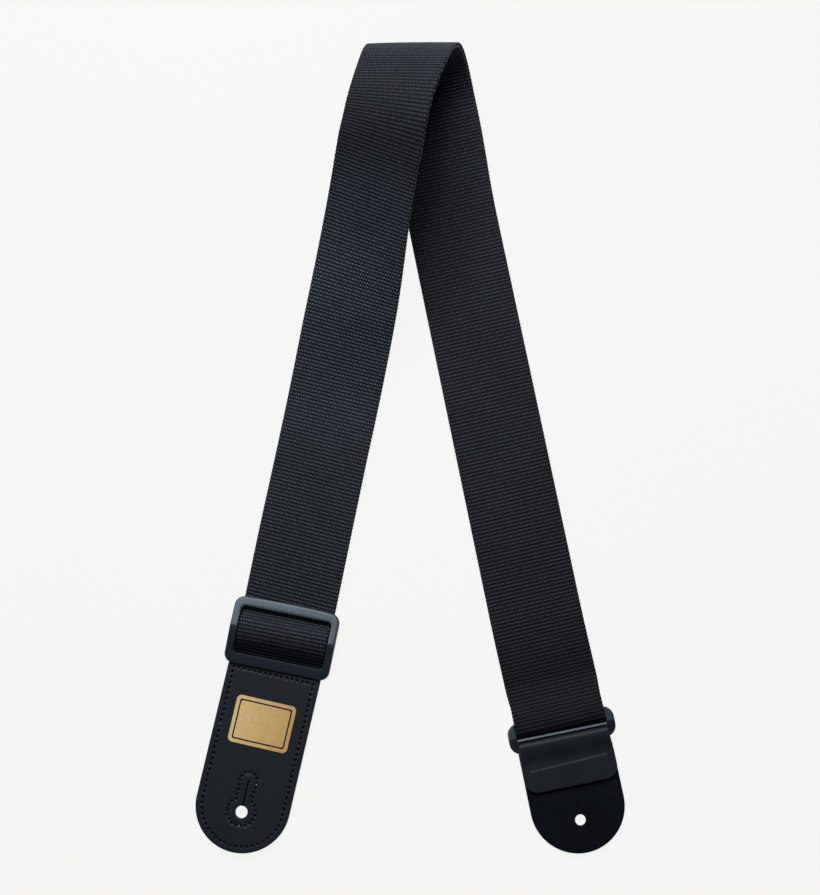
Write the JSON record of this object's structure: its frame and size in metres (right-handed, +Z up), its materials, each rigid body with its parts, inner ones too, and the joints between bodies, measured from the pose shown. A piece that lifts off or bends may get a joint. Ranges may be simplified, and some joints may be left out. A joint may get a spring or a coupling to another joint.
{
  "type": "guitar strap",
  "caption": "Adjustable black webbing guitar strap folded in half, with a moulded slider, an end ring and two stitched leather tabs with keyhole button holes",
  "frame": {"origin": "centre of the bounding box at the surface the strap lies on", "axes": "+X across the two legs to the side of the end ring, +Y along the legs toward the fold, +Z up"},
  "size_m": [0.2254, 0.4334, 0.0726],
  "materials": {
    "webbing": "ribbed woven polypropylene, low sheen",
    "leather": "fine grained, matte, smooth side out",
    "suede": "napped, very matte",
    "thread": "waxed thread",
    "plastic": "satin moulded plastic",
    "foil": "thin satin gold foil"
  },
  "bodies": {
    "strap_back": {"webbing_back_outer": "webbing", "webbing_back_inner": "webbing", "webbing_nose_outer": "webbing", "webbing_nose_inner": "webbing"},
    "strap_front": {"webbing_descent_outer": "webbing", "webbing_descent_inner": "webbing", "webbing_front_outer": "webbing", "webbing_front_inner": "webbing", "tab_a_backing": "suede", "tab_a_front_leather": "leather", "tab_a_perimeter_thread": "thread", "tab_a_keyhole_thread": "thread", "tab_a_top_thread": "thread", "tab_a_emblem": "foil"},
    "slider": {"slider_frame": "plastic", "webbing_slider_pass": "webbing", "webbing_sewn_loop": "webbing", "sewn_loop_thread": "thread"},
    "webbing_turn": {"webbing_ring_turn": "webbing"},
    "ring": {"end_ring": "plastic"},
    "tab_b": {"tab_b_front_leather": "leather", "tab_b_backing": "suede", "tab_b_perimeter_thread": "thread", "tab_b_keyhole_thread": "thread", "tab_b_flap_thread": "thread"}
  },
  "joints": [
    {"name": "strap_fold", "type": "hinge", "parent": "strap_back", "child": "strap_front", "pos_m": [0, 0.18, 0.032], "axis": [-1, 0, 0], "range_deg": [0, 60], "deforming": ["webbing_nose_outer", "webbing_nose_inner"]},
    {"name": "slider_slide", "type": "slide", "parent": "strap_front", "child": "slider", "axis": [0.1977, 0.9803, 0], "range_m": [0, 0.1]},
    {"name": "length_extend", "type": "slide", "parent": "strap_back", "child": "webbing_turn", "axis": [0.1977, -0.9803, 0], "range_m": [0, 0.05]},
    {"name": "ring_swivel", "type": "hinge", "parent": "webbing_turn", "child": "ring", "pos_m": [0.07923, -0.14964, 0.003], "axis": [-0.9803, -0.1977, 0], "range_deg": [-60, 60]},
    {"name": "tab_b_swivel", "type": "hinge", "parent": "ring", "child": "tab_b", "pos_m": [0.08089, -0.15787, 0.003], "axis": [-0.9803, -0.1977, 0], "range_deg": [-45, 45]}
  ],
  "couplings": [
    {"joint": "length_extend", "follows": "slider_slide", "ratio": 0.5}
  ]
}
